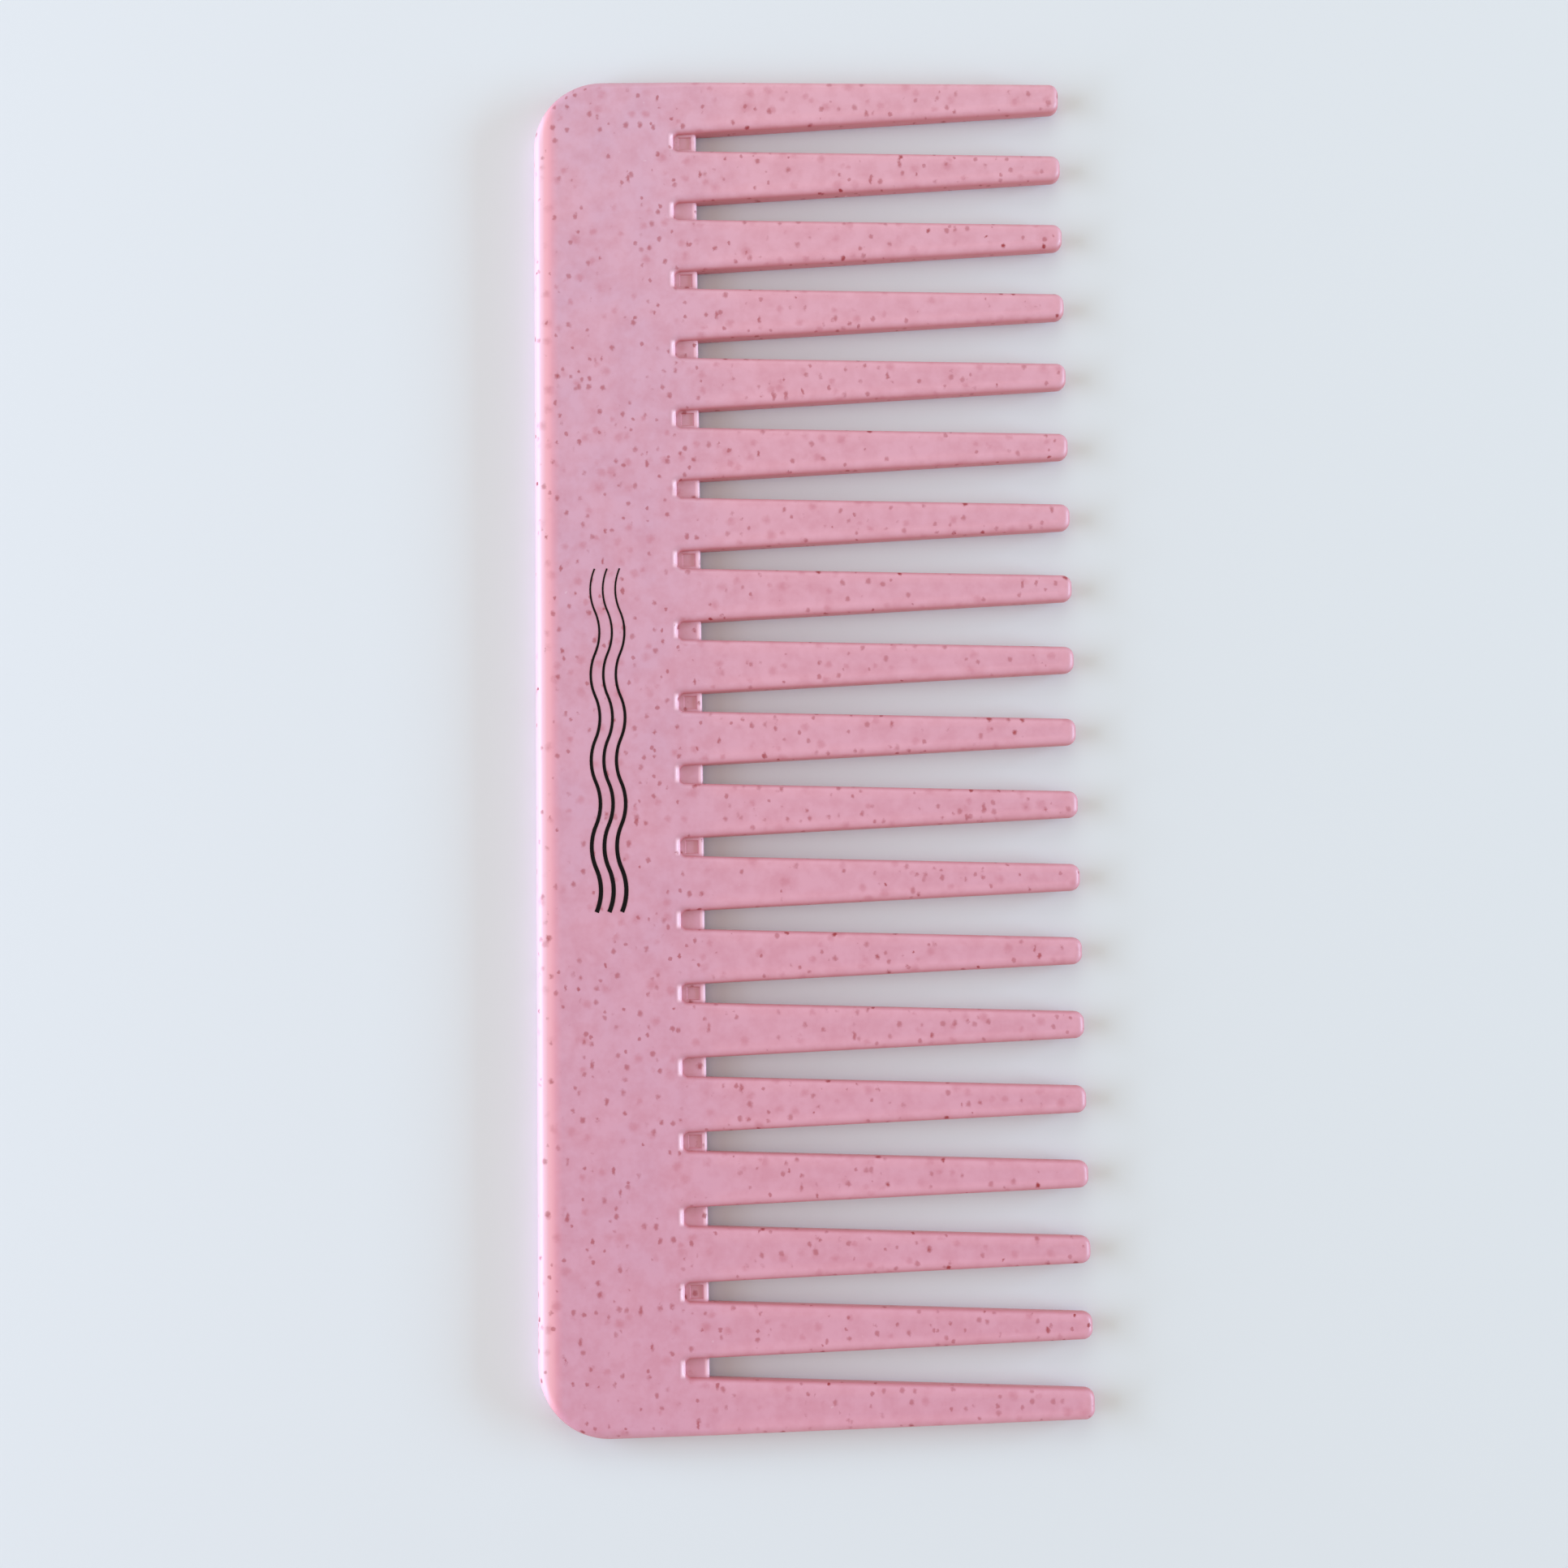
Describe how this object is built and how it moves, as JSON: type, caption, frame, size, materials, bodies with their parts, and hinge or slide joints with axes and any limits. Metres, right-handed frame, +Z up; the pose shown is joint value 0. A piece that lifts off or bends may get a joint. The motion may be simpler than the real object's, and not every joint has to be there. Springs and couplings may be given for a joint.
{
  "type": "wide tooth comb",
  "caption": "Flat rectangular wide tooth comb with rounded back corners, tapered rounded teeth, thin root webs in the gaps and a small printed wave mark on the spine.",
  "frame": {"origin": "middle of the comb's outline, on the surface that the comb lies on", "axes": "+X from the back edge towards the tooth tips, +Y along the row of teeth, +Z up out of the printed face"},
  "size_m": [0.075, 0.19, 0.0034],
  "materials": {
    "speckled_plastic": "satin, plant-fibre-filled pink plastic with dark red-brown specks",
    "ink": "thin black printing ink"
  },
  "bodies": {
    "root": {"spine": "speckled_plastic", "tooth_01": "speckled_plastic", "tooth_02": "speckled_plastic", "tooth_03": "speckled_plastic", "tooth_04": "speckled_plastic", "tooth_05": "speckled_plastic", "tooth_06": "speckled_plastic", "tooth_07": "speckled_plastic", "tooth_08": "speckled_plastic", "tooth_09": "speckled_plastic", "tooth_10": "speckled_plastic", "tooth_11": "speckled_plastic", "tooth_12": "speckled_plastic", "tooth_13": "speckled_plastic", "tooth_14": "speckled_plastic", "tooth_15": "speckled_plastic", "tooth_16": "speckled_plastic", "tooth_17": "speckled_plastic", "tooth_18": "speckled_plastic", "tooth_19": "speckled_plastic", "printed_mark": "ink"}
  },
  "joints": []
}
